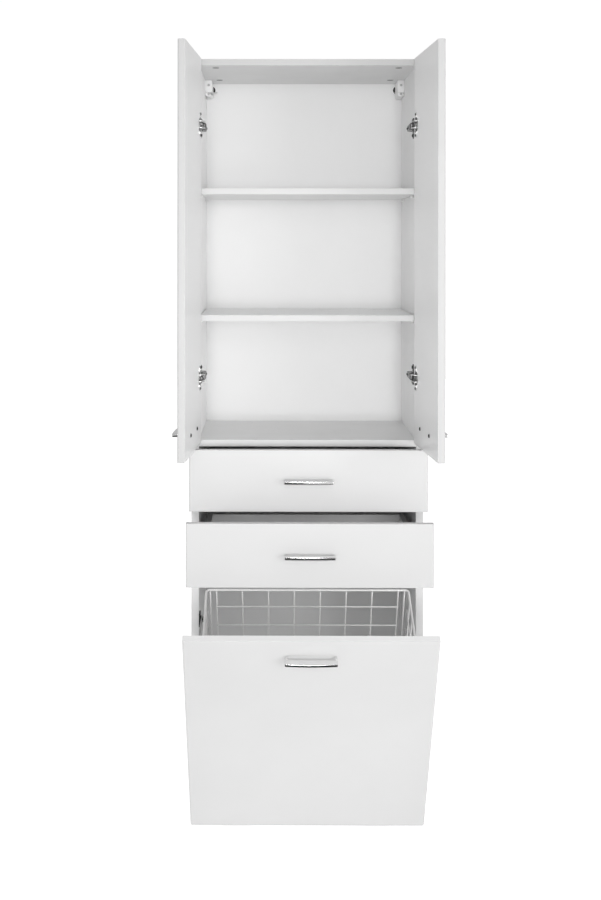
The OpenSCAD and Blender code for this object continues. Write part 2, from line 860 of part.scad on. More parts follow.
// Butt hinges: two knuckles and a pin on the cabinet's leaf, one knuckle on the flap's leaf
module flap_hinge_fixed_leaves() {
    leaf_foot = flap_axis_z + barrel_r + knuckle_play;
    leaf_top = bottom_z + board_t - leaf_t;
    color("gray") placed() for (s = [-1, 1]) {
        x = s * flap_hinge_x;
        difference() {
            box(x - leaf_w / 2, x + leaf_w / 2, -leaf_t, 0, leaf_foot, leaf_top);
            for (k = [-1, 1])
                rod_y(x + k * leaf_screw_x, -leaf_t - 1, 1, (leaf_foot + leaf_top) / 2, leaf_screw_r);
        }
        for (k = [-1, 1]) {
            x0 = x + k * (knuckle_w / 2 + knuckle_play);
            x1 = x + k * leaf_w / 2;
            box(x0, x1, -leaf_t, 0, flap_axis_z, flap_axis_z + barrel_r + leaf_t);
            rod_x(x0, x1, flap_axis_y, flap_axis_z, barrel_r);
        }
        rod_x(x - leaf_w / 2, x + leaf_w / 2, flap_axis_y, flap_axis_z, barrel_pin_r);
    }
}

module flap_hinge_moving_leaves() {
    leaf_y = flap_axis_y - barrel_r - leaf_gap;
    leaf_y0 = leaf_t - front_gap - front_t;
    color("gray") on_flap() for (s = [-1, 1]) {
        x = s * flap_hinge_x;
        difference() {
            box(x - leaf_w / 2, x + leaf_w / 2, leaf_y0, leaf_y, flap_z - leaf_t, flap_z);
            for (k = [-1, 1])
                translate([x + k * leaf_screw_x, (leaf_y0 + leaf_y) / 2, flap_z - leaf_t - 1])
                    cylinder(r = leaf_screw_r, h = leaf_t + 2);
        }
        difference() {
            union() {
                box(x - knuckle_w / 2, x + knuckle_w / 2, leaf_y - leaf_t, flap_axis_y,
                    flap_z - leaf_t, flap_z);
                rod_x(x - knuckle_w / 2, x + knuckle_w / 2, flap_axis_y, flap_axis_z, barrel_r);
            }
            rod_x(x - knuckle_w, x + knuckle_w, flap_axis_y, flap_axis_z, barrel_pin_r + slip);
        }
    }
}

stay_r = norm([stay_pin_y - flap_axis_y, stay_pin_z - flap_axis_z]);
stay_pin_angle = atan2(stay_pin_y - flap_axis_y, stay_pin_z - flap_axis_z);
stay_max_tilt = 28.4;

// A flat ring sector about the flap axis, from angle a0 to a1 behind the upright
module stay_sector(r0, r1, a0, a1, t) {
    translate([0, flap_axis_y, flap_axis_z]) rotate([0, 90, 0]) rotate([0, 0, 180 - a1])
        translate([0, 0, -t / 2]) rotate_extrude(angle = a1 - a0, $fn = 180)
            translate([r0, 0]) square([r1 - r0, t]);
}

module stay_arc(side) {
    slot_r = stay_pin_r + stay_slot_play;
    a_end = stay_pin_angle + stay_max_tilt;
    foot_z0 = stay_pin_z - stay_foot_down;
    foot_z1 = stay_pin_z + stay_foot_up;
    translate([side * stay_x, 0, 0]) difference() {
        union() {
            stay_sector(stay_r - stay_strip_w / 2, stay_r + stay_strip_w / 2,
                stay_start_a, a_end + stay_past_slot_a, stay_strip_t);
            translate([-stay_strip_t / 2, -front_gap, foot_z0])
                cube([stay_strip_t, stay_foot_deep, foot_z1 - foot_z0]);
        }
        stay_sector(stay_r - slot_r, stay_r + slot_r, stay_pin_angle, a_end, stay_strip_t + 2);
        for (a = [stay_pin_angle, a_end]) translate([0, flap_axis_y, flap_axis_z]) rotate([-a, 0, 0])
            rod_x(-stay_strip_t, stay_strip_t, 0, stay_r, slot_r);
    }
    x_out = side * (stay_x + stay_strip_t / 2);
    difference() {
        box(x_out, x_out - side * stay_foot_w, -front_gap, -front_gap + stay_foot_t, foot_z0, foot_z1);
        for (z = [foot_z0 + stay_screw_end, foot_z1 - stay_screw_end])
            rod_y(side * (stay_x - stay_screw_in), -front_gap - 1, 1, z, stay_screw_r);
    }
}

module stay_arcs() {
    color("dimgray") on_flap() stay_arc(stay_side);
}

// Plate on the side panel with the headed pin that the slotted arc slides on
module stay_brackets() {
    x = stay_side * inner_x;
    head_x = stay_pin_l - stay_head_t;
    color("black") placed() {
        difference() {
            box(x, x - stay_side * bracket_t, bracket_y0, bracket_y1,
                stay_pin_z - bracket_h / 2, stay_pin_z + bracket_h / 2);
            for (s = [-1, 1])
                rod_x(x - stay_side * (bracket_t + 1), x + stay_side, bracket_screw_y,
                    stay_pin_z + s * (bracket_h / 2 - stay_screw_end), stay_screw_r);
        }
        translate([x, stay_pin_y, stay_pin_z]) rotate([0, -stay_side * 90, 0])
            cylinder(r1 = stay_boss_r, r2 = stay_boss_top_r, h = stay_boss_t);
        rod_x(x - stay_side * bracket_t / 2, x - stay_side * stay_pin_l, stay_pin_y, stay_pin_z, stay_pin_r);
        rod_x(x - stay_side * head_x, x - stay_side * stay_pin_l, stay_pin_y, stay_pin_z, stay_head_r);
    }
}

// ---- wire basket ------------------------------------------------------------------------------

basket_x = basket_w / 2 - rim_d / 2;
basket_y0 = -front_gap + basket_gap_y;
basket_y1 = -front_gap + basket_d;
rim_z = flap_z + flap_h - basket_rim_drop;
base_z = flap_z + basket_base_z;
wire_top_z = rim_z - rim_d / 2 + rim_weld;
base_long_z = base_z - wire_d + base_weld;
base_cross_z = base_long_z - wire_d + weld;
levels = [for (z = [rim_z - level_first : -level_step : base_z + level_step / 2]) z];
side_ys = [for (i = [1 : side_wires]) basket_y1 - side_wire_rear - (side_wires - i) * side_wire_step];
long_half = (rear_wires - 1) / 2 * rear_wire_step;
upright_xs = [for (i = [0 : rear_wires - 1]) i * rear_wire_step - long_half];
corner_x = basket_x - basket_corner_r;

module wire_x(x0, x1, y, z, d) {
    translate([x0, y, z]) rotate([0, 90, 0]) cylinder(d = d, h = x1 - x0, $fn = 8);
}

module wire_y(x, y0, y1, z, d) {
    translate([x, y0, z]) rotate([-90, 0, 0]) cylinder(d = d, h = y1 - y0, $fn = 8);
}

module wire_z(x, y, z0, z1, d) {
    translate([x, y, z0]) cylinder(d = d, h = z1 - z0, $fn = 8);
}

module basket_rim() {
    r = basket_corner_r;
    color("white") on_flap() union() {
        for (y = [basket_y0, basket_y1]) wire_x(-basket_x + r, basket_x - r, y, rim_z, rim_d);
        for (s = [-1, 1]) wire_y(s * basket_x, basket_y0 + r, basket_y1 - r, rim_z, rim_d);
        for (c = [[1, 1, 0], [-1, 1, 90], [-1, -1, 180], [1, -1, 270]])
            translate([c[0] * (basket_x - r), c[1] > 0 ? basket_y1 - r : basket_y0 + r, rim_z])
                rotate([0, 0, c[2]]) rotate_extrude(angle = 90) translate([r, 0]) circle(d = rim_d, $fn = 8);
    }
}

// An upright wire panel across the basket at depth y; the level wires are welded to the
// uprights on the inner side
module cross_panel(y, inward, xs) {
    level_y = y + inward * (wire_d - weld);
    for (x = xs) wire_z(x, y, base_z, wire_top_z, wire_d);
    for (z = levels) wire_x(-long_half - wire_d / 2, long_half + wire_d / 2, level_y, z, wire_d);
    wire_x(-corner_x - wire_d / 2, corner_x + wire_d / 2, y, base_z, wire_d);
}

module side_wire_panel(side) {
    x = side * basket_x;
    level_x = side * (basket_x - wire_d + weld);
    y0 = side_ys[0] - wire_d / 2;
    y1 = basket_y1 - side_level_rear;
    foot_z = base_cross_z + wire_d / 2 + slip;
    for (y = side_ys) wire_z(x, y, foot_z, wire_top_z, wire_d);
    for (z = levels) wire_y(level_x, y0, y1, z, wire_d);
    wire_y(x, y0, y1, base_z, wire_d);
}

module basket_rear() {
    color("white") on_flap() cross_panel(basket_y1, -1, concat([-corner_x], upright_xs, [corner_x]));
}

module basket_front() {
    color("white") on_flap() cross_panel(basket_y0, 1, upright_xs);
}

module basket_sides() {
    color("white") on_flap() for (side = [-1, 1]) side_wire_panel(side);
}

module basket_base() {
    color("white") on_flap() union() {
        for (x = concat([-corner_x], upright_xs, [corner_x]))
            wire_y(x, basket_y0, basket_y1, base_long_z, wire_d);
        for (y = side_ys) wire_x(-basket_x, basket_x, y, base_cross_z, wire_d);
    }
}

// Moulded clips screwed to the flap, holding the front wires of the basket
module basket_clips() {
    color("white") on_flap() for (s = [-1, 1], z = [rim_z - level_step / 2, base_z + clip_rise]) {
        x = s * (long_half - rear_wire_step);
        difference() {
            box(x - clip_w / 2, x + clip_w / 2, -front_gap, basket_y0 + clip_wall,
                z - clip_h / 2, z + clip_h / 2);
            wire_z(x, basket_y0, z - clip_h, z + clip_h, wire_d + clip_play);
        }
    }
}

side_panel_left();
side_panel_right();
top_panel();
compartment_floor();
divider_board();
bottom_board();
back_panel();
shelf_upper();
shelf_lower();
shelf_pins();
cam_fittings();
wall_hanger_left();
wall_hanger_right();
floor_glides();
hinge_arms();
runner_rails_upper();
runner_rails_lower();
stay_brackets();
flap_hinge_fixed_leaves();
door_left();
door_handle_left();
door_screws_left();
hinge_cups_left();
hinge_links_left();
door_right();
door_handle_right();
door_screws_right();
hinge_cups_right();
hinge_links_right();
drawer_front_upper();
drawer_side_left_upper();
drawer_side_right_upper();
drawer_back_upper();
drawer_bottom_upper();
drawer_handle_upper();
drawer_screws_upper();
slide_profiles_upper();
rail_rollers_upper();
slide_rollers_upper();
drawer_front_lower();
drawer_side_left_lower();
drawer_side_right_lower();
drawer_back_lower();
drawer_bottom_lower();
drawer_handle_lower();
drawer_screws_lower();
slide_profiles_lower();
rail_rollers_lower();
slide_rollers_lower();
flap_panel();
flap_handle();
flap_screws();
flap_hinge_moving_leaves();
stay_arcs();
basket_rim();
basket_rear();
basket_sides();
basket_front();
basket_base();
basket_clips();
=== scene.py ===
from math import cos, pi, radians, sin, sqrt

import bmesh
import bpy
from mathutils import Matrix, Vector


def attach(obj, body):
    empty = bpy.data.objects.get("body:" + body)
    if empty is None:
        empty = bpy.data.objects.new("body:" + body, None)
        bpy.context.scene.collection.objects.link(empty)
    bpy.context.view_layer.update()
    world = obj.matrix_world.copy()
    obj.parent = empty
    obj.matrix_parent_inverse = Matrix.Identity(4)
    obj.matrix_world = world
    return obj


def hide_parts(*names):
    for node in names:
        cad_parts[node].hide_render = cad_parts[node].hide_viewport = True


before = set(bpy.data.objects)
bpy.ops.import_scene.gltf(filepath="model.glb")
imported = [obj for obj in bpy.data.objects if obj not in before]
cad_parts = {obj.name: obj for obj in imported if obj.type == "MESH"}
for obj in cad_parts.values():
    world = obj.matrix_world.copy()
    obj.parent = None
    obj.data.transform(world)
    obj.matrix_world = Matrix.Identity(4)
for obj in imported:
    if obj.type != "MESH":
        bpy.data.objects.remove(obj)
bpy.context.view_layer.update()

# ---- Where the photograph was taken from -----------------------------------------------------
# The camera stands a little left of the cabinet, at a height between the two shelves, and
# looks level at the wall. Its frame is slid down to take in the foot of the cabinet.
pan = 0.00489
roll = 0.00101
lens = bpy.data.cameras.new("viewpoint")
lens.lens = 48.672
lens.sensor_width = 36
lens.shift_x = 0.03806
lens.shift_y = -0.22247
viewpoint = bpy.data.objects.new("viewpoint", lens)
bpy.context.scene.collection.objects.link(viewpoint)
level = Matrix.Rotation(pi / 2, 4, "X")
look = Matrix.Rotation(pan, 4, "Z") @ level @ Matrix.Rotation(roll, 4, "Z")
viewpoint.matrix_world = Matrix.Translation((-0.07634, -2.64114, 1.23829)) @ look
bpy.context.scene.camera = viewpoint

# ---- Studio ----------------------------------------------------------------------------------
# A tent of soft light all round and a pale sweep that runs out to white. Both look brighter
# than the light they give, so that the ground of the picture is white and the cabinet is not.
bpy.context.scene.view_settings.view_transform = "Standard"


def lit(tree, socket, given, seen):
    """Sets a strength to one value for the light given and another for what the camera sees."""
    ray = tree.nodes.new("ShaderNodeLightPath")
    strength = tree.nodes.new("ShaderNodeMapRange")
    strength.inputs["To Min"].default_value = given
    strength.inputs["To Max"].default_value = seen
    tree.links.new(ray.outputs["Is Camera Ray"], strength.inputs["Value"])
    tree.links.new(strength.outputs["Result"], socket)


tent = bpy.data.worlds.new("tent")
tent.use_nodes = True
tent_cloth = tent.node_tree.nodes["Background"].inputs
tent_cloth["Color"].default_value = (1, 1, 1, 1)
lit(tent.node_tree, tent_cloth["Strength"], given=0.55, seen=1.02)
bpy.context.scene.world = tent


def flat_sheet(name, x0, x1, y0, y1, height, paint):
    mesh = bpy.data.meshes.new(name)
    corners = [(x0, y0, height), (x1, y0, height), (x1, y1, height), (x0, y1, height)]
    mesh.from_pydata(corners, [], [(0, 1, 2, 3)])
    mesh.materials.append(paint)
    sheet = bpy.data.objects.new(name, mesh)
    bpy.context.scene.collection.objects.link(sheet)
    return sheet


sweep_paint = bpy.data.materials.new("sweep_paint")
sweep_paint.use_nodes = True
paint = sweep_paint.node_tree.nodes["Principled BSDF"].inputs
paint["Base Color"].default_value = (0.8, 0.8, 0.8, 1)
paint["Roughness"].default_value = 0.9
paint["Specular IOR Level"].default_value = 0.0
paint["Emission Color"].default_value = (1, 1, 1, 1)
lit(sweep_paint.node_tree, paint["Emission Strength"], given=0.28, seen=0.7)
sweep = flat_sheet("sweep", -9, 9, -9, 9, 0, sweep_paint)

# Wide soft boxes stand in front, the right one stronger, so that the inner faces on the right
# stay a shade darker than those on the left.


def soft_box(name, watts, place, target, width, height):
    light = bpy.data.lights.new(name, "AREA")
    light.shape = "RECTANGLE"
    light.size = width
    light.size_y = height
    light.energy = watts
    stand = bpy.data.objects.new(name, light)
    bpy.context.scene.collection.objects.link(stand)
    aim = (Vector(target) - Vector(place)).to_track_quat("-Z", "Y")
    stand.matrix_world = Matrix.Translation(place) @ aim.to_matrix().to_4x4()


soft_box("right", 46.5, place=(2.6, -3.2, 1.0), target=(0, 0, 0.9), width=1.8, height=2.2)
soft_box("high", 8.69, place=(0.3, -3.4, 1.75), target=(0, 0, 0.5), width=2.4, height=0.7)
soft_box("left", 9.15, place=(-2.6, -3.2, 1.0), target=(0, 0, 0.9), width=1.8, height=2.2)

# A soft-edged beam from far off, strongest at the drawers, so that the light falls off a little
# toward the top of the cabinet.
beam = bpy.data.lights.new("beam", "SPOT")
beam.energy = 1846.2
beam.spot_size = radians(17)
beam.spot_blend = 1.0
beam.shadow_soft_size = 1.2
beam_stand = bpy.data.objects.new("beam", beam)
bpy.context.scene.collection.objects.link(beam_stand)
beam_stand.matrix_world = Matrix.Translation((0, -9, 0.85)) @ level

# Black cards lie on the sweep where only mirror-like surfaces see them: they draw the dark
# lower edges of the handles.
card_paint = bpy.data.materials.new("card_paint")
card_paint.use_nodes = True
card_inputs = card_paint.node_tree.nodes["Principled BSDF"].inputs
card_inputs["Base Color"].default_value = (0.01, 0.01, 0.01, 1)
card_inputs["Roughness"].default_value = 0.9
card_height = 0.002
for name, x0, x1, y0, y1 in (("near_card", -0.7, 0.7, -1.6, -0.28),
                             ("middle_card", -1.2, 1.2, -3.3, -1.6),
                             ("far_card", -1.6, 0.0, -6.5, -2.4)):
    card = flat_sheet(name, x0, x1, y0, y1, card_height, card_paint)
    card.visible_camera = False
    card.visible_diffuse = False
    card.visible_shadow = False

# ---- Carcass boards --------------------------------------------------------------------------
# Side panels, top, compartment floor, divider and bottom board: particle board faced with
# matt white melamine, sawn square, with a hair of ease on every edge.


def group_sockets(group, direction, rows):
    for title, kind, value in rows:
        kind = "NodeSocket" + kind
        socket = group.interface.new_socket(name=title, in_out=direction, socket_type=kind)
        if value is not None:
            socket.default_value = value


# Pressed paper or paint film: a faint cloudiness of tone, a pebble too fine to see singly, and
# patches that have been wiped or touched and so shine a little differently. The faces that look
# the given way carry a second tone instead. It is painted light on the inner faces of fronts
# and painted shade on the front edges of boards and the top edges of drawer boards.
surface_outputs = [
    ("Color", "Color", None), ("Roughness", "Float", None), ("Height", "Float", None)]
film = bpy.data.node_groups.new("pressed_film", "ShaderNodeTree")
group_sockets(film, "INPUT", [
    ("Light tone", "Color", (0.8, 0.8, 0.8, 1)), ("Dark tone", "Color", (0.76, 0.76, 0.76, 1)),
    ("Cloud size", "Float", 9.0), ("Pebble size", "Float", 900.0),
    ("Roughness", "Float", 0.4), ("Wiped", "Float", 0.1),
    ("Other tone", "Color", (0.8, 0.8, 0.8, 1)), ("Other way", "Vector", (0, 0, 0))])
group_sockets(film, "OUTPUT", surface_outputs)
film_nodes = film.nodes
into = film_nodes.new("NodeGroupInput")
out = film_nodes.new("NodeGroupOutput")
spot = film_nodes.new("ShaderNodeTexCoord")
cloud = film_nodes.new("ShaderNodeTexNoise")
cloud.inputs["Detail"].default_value = 4
pebble = film_nodes.new("ShaderNodeTexNoise")
pebble.inputs["Detail"].default_value = 2
wiped = film_nodes.new("ShaderNodeTexNoise")
wiped.inputs["Scale"].default_value = 3.5
wiped.inputs["Detail"].default_value = 3
tone = film_nodes.new("ShaderNodeMix")
tone.data_type = "RGBA"
spread = film_nodes.new("ShaderNodeMapRange")
spread.inputs["From Min"].default_value = 0.35
spread.inputs["From Max"].default_value = 0.65
dull = film_nodes.new("ShaderNodeMath")
dull.operation = "MULTIPLY_ADD"
facing = film_nodes.new("ShaderNodeVectorMath")
facing.operation = "DOT_PRODUCT"
# Faces that look the given way take the second tone: painted light and painted shade laid on whole
# faces.
least_facing = 0.6
painted_light_mask = film_nodes.new("ShaderNodeMath")
painted_light_mask.operation = "GREATER_THAN"
painted_light_mask.inputs[1].default_value = least_facing
painted_light_mix = film_nodes.new("ShaderNodeMix")
painted_light_mix.data_type = "RGBA"
link = film.links.new
for field in (cloud, pebble, wiped):
    link(spot.outputs["Object"], field.inputs["Vector"])
link(into.outputs["Cloud size"], cloud.inputs["Scale"])
link(into.outputs["Pebble size"], pebble.inputs["Scale"])
link(cloud.outputs["Fac"], spread.inputs["Value"])
link(spread.outputs["Result"], tone.inputs["Factor"])
link(into.outputs["Light tone"], tone.inputs["A"])
link(into.outputs["Dark tone"], tone.inputs["B"])
link(wiped.outputs["Fac"], dull.inputs[0])
link(into.outputs["Wiped"], dull.inputs[1])
link(into.outputs["Roughness"], dull.inputs[2])
link(spot.outputs["Normal"], facing.inputs[0])
link(into.outputs["Other way"], facing.inputs[1])
link(facing.outputs["Value"], painted_light_mask.inputs[0])
link(painted_light_mask.outputs["Value"], painted_light_mix.inputs["Factor"])
link(tone.outputs["Result"], painted_light_mix.inputs["A"])
link(into.outputs["Other tone"], painted_light_mix.inputs["B"])
link(painted_light_mix.outputs["Result"], out.inputs["Color"])
link(dull.outputs["Value"], out.inputs["Roughness"])
link(pebble.outputs["Fac"], out.inputs["Height"])


def finish(name, group, values, bump, depth, **own):
    """A material of one surface group, its relief in metres, and the shader's own values."""
    made = bpy.data.materials.new(name)
    made.use_nodes = True
    tree = made.node_tree
    shader = tree.nodes["Principled BSDF"]
    surface = tree.nodes.new("ShaderNodeGroup")
    surface.node_tree = group
    for title, value in values.items():
        surface.inputs[title].default_value = value
    relief = tree.nodes.new("ShaderNodeBump")
    relief.inputs["Strength"].default_value = bump
    relief.inputs["Distance"].default_value = depth
    tree.links.new(surface.outputs["Color"], shader.inputs["Base Color"])
    tree.links.new(surface.outputs["Roughness"], shader.inputs["Roughness"])
    tree.links.new(surface.outputs["Height"], relief.inputs["Height"])
    tree.links.new(relief.outputs["Normal"], shader.inputs["Normal"])
    for title, value in own.items():
        shader.inputs[title.replace("_", " ")].default_value = value
    return made


def grey(value, warm=0.0):
    return (value * (1 + warm), value, value * (1 - warm), 1)


def dress(nodes, coat, ease=0.0, steps=2):
    """Gives solids their coat, and rounds their sharp edges by ease, in mm."""
    for name in nodes:
        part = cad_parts[name]
        for place in part.material_slots:
            place.material = coat
        if ease:
            joined = part.modifiers.new("joined", "WELD")
            joined.merge_threshold = 0.00001
            flat = part.modifiers.new("flat", "DECIMATE")
            flat.decimate_type = "DISSOLVE"
            flat.angle_limit = radians(1)
            eased = part.modifiers.new("eased", "BEVEL")
            eased.width = ease / 1000
            eased.segments = steps
            eased.limit_method = "ANGLE"
            eased.angle_limit = radians(35)
            eased.use_clamp_overlap = False
            even = part.modifiers.new("even", "WEIGHTED_NORMAL")
            even.keep_sharp = False


def melamine(name, face, edge_shade):
    """White melamine, with one tone for its faces and another for the faces that look to the front:
    both are painted light and painted shade, given board by board.
    """
    return finish(name, film, {
        "Light tone": grey(face), "Dark tone": grey(face - 0.02), "Cloud size": 14.0,
        "Pebble size": 1400.0, "Roughness": 0.38, "Wiped": 0.12, "Other tone": grey(edge_shade),
        "Other way": (0, -1, 0)}, bump=0.25, depth=0.0001)


sawn_ease = 0.35
# Each board's tones are painted light and painted shade. The left side panel and the low boards are
# lighter, and the right side panel, the top and the front edges are darker, for how the light falls
# on them.
dress(["top_panel"], melamine("melamine_top", face=0.80, edge_shade=0.56), sawn_ease)
dress(["side_panel_left"], melamine("melamine_left", face=0.97, edge_shade=0.80), sawn_ease)
dress(["side_panel_right"], melamine("melamine_right", face=0.88, edge_shade=0.70), sawn_ease)
dress(["compartment_floor"], melamine("melamine_floor", face=0.86, edge_shade=0.80), sawn_ease)
dress(["divider_board", "bottom_board"], melamine("melamine_low", face=0.97, edge_shade=0.90), sawn_ease)

# ---- Back panel ------------------------------------------------------------------------------
# Thin hardboard, painted white on the face and slid into grooves behind the compartments. Two
# round holes near its top let the hooks of the wall hangers through.
hardboard = finish("hardboard", film, {
    "Light tone": grey(0.89), "Dark tone": grey(0.875), "Cloud size": 5.0, "Pebble size": 600.0,
    "Roughness": 0.5, "Wiped": 0.14}, bump=0.3, depth=0.0002)
dress(["back_panel"], hardboard)

# ---- Loose shelves and their pins ------------------------------------------------------------
# Two melamine shelves lie loose on small moulded pins, four to each, which are pushed into
# holes in the side panels.
# The shelves' face and edge tones are painted light and painted shade in the same way.
dress(["shelf_upper", "shelf_lower"], melamine("melamine_shelves", face=0.88, edge_shade=0.64), sawn_ease)
moulded = finish("moulded_white", film, {
    "Light tone": grey(0.82, 0.004), "Dark tone": grey(0.79, 0.006), "Cloud size": 60.0,
    "Pebble size": 2500.0, "Roughness": 0.32, "Wiped": 0.12}, bump=0.2, depth=0.00005)
dress(["shelf_pins"], moulded, 0.4)

# ---- Cam fittings ----------------------------------------------------------------------------
# Cast zinc cams in the undersides of the fixed boards, turned tight on bolts in the side
# panels. Plated or cast metal: fine lines left by the making, and duller patches of handling.
plating = bpy.data.node_groups.new("plated_metal", "ShaderNodeTree")
group_sockets(plating, "INPUT", [
    ("Bright tone", "Color", (0.6, 0.6, 0.6, 1)), ("Dim tone", "Color", (0.5, 0.5, 0.5, 1)),
    ("Line size", "Float", 300.0), ("Roughness", "Float", 0.25), ("Handled", "Float", 0.12)])
group_sockets(plating, "OUTPUT", surface_outputs)
metal_nodes = plating.nodes
into = metal_nodes.new("NodeGroupInput")
out = metal_nodes.new("NodeGroupOutput")
spot = metal_nodes.new("ShaderNodeTexCoord")
lines = metal_nodes.new("ShaderNodeTexNoise")
lines.inputs["Detail"].default_value = 3
marks = metal_nodes.new("ShaderNodeTexNoise")
marks.inputs["Scale"].default_value = 45
marks.inputs["Detail"].default_value = 4
tone = metal_nodes.new("ShaderNodeMix")
tone.data_type = "RGBA"
dull = metal_nodes.new("ShaderNodeMath")
dull.operation = "MULTIPLY_ADD"
link = plating.links.new
for field in (lines, marks):
    link(spot.outputs["Object"], field.inputs["Vector"])
link(into.outputs["Line size"], lines.inputs["Scale"])
link(marks.outputs["Fac"], tone.inputs["Factor"])
link(into.outputs["Bright tone"], tone.inputs["A"])
link(into.outputs["Dim tone"], tone.inputs["B"])
link(marks.outputs["Fac"], dull.inputs[0])
link(into.outputs["Handled"], dull.inputs[1])
link(into.outputs["Roughness"], dull.inputs[2])
link(tone.outputs["Result"], out.inputs["Color"])
link(dull.outputs["Value"], out.inputs["Roughness"])
link(lines.outputs["Fac"], out.inputs["Height"])
# The cams are given a far darker tone than the plated zinc of the screws: a painted shade in their
# bores under the boards.
painted_shade_cast_zinc = finish("painted_shade_cast_zinc", plating, {
    "Bright tone": grey(0.22), "Dim tone": grey(0.12), "Roughness": 0.4, "Handled": 0.2,
    "Line size": 1200.0}, bump=0.3, depth=0.00005, Metallic=1.0)
dress(["cam_fittings"], painted_shade_cast_zinc)

# ---- Wall hangers ----------------------------------------------------------------------------
# Moulded white boxes screwed into the top rear corners, each with two adjusting screws in its
# face and a hook that goes out through a round hole in the back panel. A black disc in each hole
# is a painted shade, standing for the dark gap between the back panel and the wall.

# From here on the sizes of pieces are in mm. They are drawn with y = 0 at the front of the side
# panels. The frame is centred on the whole cabinet, so what is drawn goes a little forward.
drawn_to_frame = Matrix.Translation((0, -0.016038, 0))
mm = Matrix.Scale(0.001, 4)
half_inside = 234.0


def piece(name, mesh, coat, body, place, stands_for=()):
    mesh.transform(place @ mm)
    mesh.materials.clear()
    mesh.materials.append(coat)
    made = bpy.data.objects.new(name, mesh)
    bpy.context.scene.collection.objects.link(made)
    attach(made, body)
    if stands_for:
        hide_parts(*stands_for)
    return made


def smooth_mesh(name, shape):
    """The finished mesh of a shape, smooth all over."""
    bmesh.ops.recalc_face_normals(shape, faces=shape.faces)
    for face in shape.faces:
        face.smooth = True
    mesh = bpy.data.meshes.new(name)
    shape.to_mesh(mesh)
    shape.free()
    return mesh


def turned(profile, sides=28):
    """A mesh turned about Z from (radius, height) pairs that start and end on the axis."""
    shape = bmesh.new()
    rings = []
    for radius, height in profile:
        if radius == 0:
            points = [(0, 0, height)]
        else:
            points = [(radius * cos(2 * pi * i / sides), radius * sin(2 * pi * i / sides), height)
                      for i in range(sides)]
        rings.append([shape.verts.new(point) for point in points])
    for low, high in zip(rings, rings[1:]):
        for i in range(sides):
            j = (i + 1) % sides
            corners = [low[i % len(low)], low[j % len(low)],
                       high[j % len(high)], high[i % len(high)]]
            shape.faces.new(list(dict.fromkeys(corners)))
    return smooth_mesh("turned", shape)


def cross_slot(radius, deep):
    """A tapered cross to be cut from a screw's head."""
    shape = bmesh.new()
    for turn in (0, pi / 2):
        spin = Matrix.Rotation(turn, 4, "Z")
        ends = []
        for length, width, height in ((0.45, 0.1, -deep), (0.62, 0.15, deep * 2)):
            x = radius * length
            y = radius * width
            ends.append([shape.verts.new(spin @ Vector(corner)) for corner in (
                (-x, -y, height), (x, -y, height), (x, y, height), (-x, y, height))])
        low, high = ends
        shape.faces.new(low[::-1])
        shape.faces.new(high)
        for i in range(4):
            j = (i + 1) % 4
            shape.faces.new([low[i], low[j], high[j], high[i]])
    mesh = bpy.data.meshes.new("cross")
    shape.to_mesh(mesh)
    shape.free()
    return mesh


def screw_head(radius, height):
    """A domed cross-head screw that looks along +Z, its rim on z = 0."""
    dome = [(0, -0.4), (radius * 0.9, -0.4), (radius, 0.0), (radius, height * 0.25),
            (radius * 0.93, height * 0.55), (radius * 0.72, height * 0.85),
            (radius * 0.4, height), (0, height * 1.02)]
    head = bpy.data.objects.new("head", turned(dome))
    cross = bpy.data.objects.new("cross", cross_slot(radius, height * 0.45))
    cross.location.z = height * 0.8
    for helper in (head, cross):
        bpy.context.scene.collection.objects.link(helper)
    cut = head.modifiers.new("cut", "BOOLEAN")
    cut.object = cross
    cut.use_self = True
    graph = bpy.context.evaluated_depsgraph_get()
    mesh = bpy.data.meshes.new_from_object(head.evaluated_get(graph))
    for helper in (head, cross):
        bpy.data.objects.remove(helper)
    return mesh


small_head = screw_head(2.9, 1.6)
toward_front = Matrix.Rotation(pi / 2, 4, "X")
toward_back = Matrix.Rotation(-pi / 2, 4, "X")
zinc = finish("zinc", plating, {
    "Bright tone": grey(0.62), "Dim tone": grey(0.5), "Roughness": 0.28, "Handled": 0.2,
    "Line size": 900.0}, bump=0.3, depth=0.00005, Metallic=1.0)


# Each screw of a group ends at a turn of its own.
first_turn = 0.3
next_turn = 0.7


def screws(name, kind, spots, facing, body, place, coat=zinc):
    """Several like screw heads as one piece; facing turns +Z to the way they look."""
    all_heads = bmesh.new()
    for i, spot in enumerate(spots):
        driven = Matrix.Rotation(next_turn * i + first_turn, 4, "Z")
        one = kind.copy()
        one.transform(Matrix.Translation(spot) @ facing @ driven)
        all_heads.from_mesh(one)
        bpy.data.meshes.remove(one)
    mesh = bpy.data.meshes.new(name)
    all_heads.to_mesh(mesh)
    all_heads.free()
    return piece(name, mesh, coat, body, place)


black_plastic = finish("black_plastic", film, {
    "Light tone": grey(0.018), "Dark tone": grey(0.03), "Cloud size": 80.0, "Pebble size": 2200.0,
    "Roughness": 0.36, "Wiped": 0.18}, bump=0.25, depth=0.00006)
hanger_white = finish("hanger_white", film, {
    "Light tone": grey(0.93), "Dark tone": grey(0.90), "Cloud size": 60.0, "Pebble size": 2500.0,
    "Roughness": 0.3, "Wiped": 0.12}, bump=0.2, depth=0.00005)
dress(["wall_hanger_left", "wall_hanger_right"], hanger_white, 0.8, 3)
adjusters_in = 8.0
adjusters = ((232.2, 1625), (235.2, 1605))          # y and z of each screw
hole_shade_in = 11.5
hole_shade_y = 299.4
hole_shade_z = 1621
hole_shade_radius = 11.5
hole_shade_profile = [
    (0, 0.0), (hole_shade_radius - 0.5, 0.0), (hole_shade_radius, 0.5), (hole_shade_radius, 1.6), (0, 2.2)]
